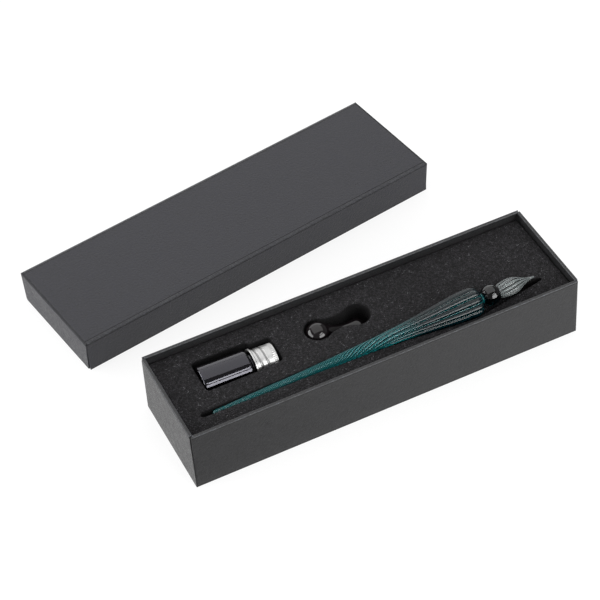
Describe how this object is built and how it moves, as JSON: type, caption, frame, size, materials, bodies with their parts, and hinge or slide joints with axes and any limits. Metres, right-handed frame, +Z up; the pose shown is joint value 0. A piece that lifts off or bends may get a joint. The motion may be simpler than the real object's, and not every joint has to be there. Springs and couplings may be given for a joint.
{
  "type": "glass dip pen set",
  "caption": "Boxed glass dip pen with a twisted teal handle, a glass pen rest and a small screw-capped bottle of ink in a dark foam insert, the card lid lying beside the tray.",
  "frame": {"origin": "middle of the tray's underside, on the table", "axes": "+X along the tray towards the pen's nib, +Y across it towards the lid beside it, +Z up"},
  "size_m": [0.2362, 0.1919, 0.0416],
  "materials": {
    "tray_card": "matt black card with a fine grain",
    "lid_card": "matt black card with a fine grain",
    "foam": null,
    "teal_glass": "deep teal glass",
    "bead_glass": "dark teal glass",
    "clear_glass": "clear glass",
    "black_glass": "glossy black glass",
    "bottle_glass": "clear glass",
    "ink": null,
    "liner": "white foam-plastic seal",
    "cap_metal": "satin rolled aluminium"
  },
  "bodies": {
    "tray": {"tray_floor": "tray_card", "tray_front_wall": "tray_card", "tray_back_wall": "tray_card", "tray_left_end": "tray_card", "tray_right_end": "tray_card", "foam_insert": "foam"},
    "lid": {"lid_top": "lid_card", "lid_front_wall": "lid_card", "lid_back_wall": "lid_card", "lid_left_end": "lid_card", "lid_right_end": "lid_card"},
    "pen": {"pen_handle": "teal_glass", "pen_bead": "bead_glass", "pen_nib": "clear_glass"},
    "rest": {"pen_rest": "black_glass"},
    "bottle": {"bottle_glass": "bottle_glass", "bottle_ink": "ink"},
    "cap_carrier": {"cap_liner": "liner"},
    "cap": {"cap_shell": "cap_metal"}
  },
  "joints": [
    {"name": "lid_lift", "type": "slide", "parent": "tray", "child": "lid", "axis": [0, 0, 1], "range_m": [0, 0.06]},
    {"name": "pen_lift", "type": "slide", "parent": "tray", "child": "pen", "axis": [0, 0, 1], "range_m": [0, 0.045]},
    {"name": "rest_lift", "type": "slide", "parent": "tray", "child": "rest", "axis": [0, 0, 1], "range_m": [0, 0.045]},
    {"name": "bottle_lift", "type": "slide", "parent": "tray", "child": "bottle", "axis": [0, 0, 1], "range_m": [0, 0.045]},
    {"name": "cap_rise", "type": "slide", "parent": "bottle", "child": "cap_carrier", "axis": [0.9995, -0.0332, 0], "range_m": [0, 0.0008375]},
    {"name": "cap_turn", "type": "hinge", "parent": "cap_carrier", "child": "cap", "pos_m": [-0.05692, 0.007, 0.0253], "axis": [0.9995, -0.0332, 0], "range_deg": [0, 90]}
  ],
  "couplings": [
    {"joint": "cap_turn", "follows": "cap_rise", "rad_per_m": 1875.6}
  ]
}
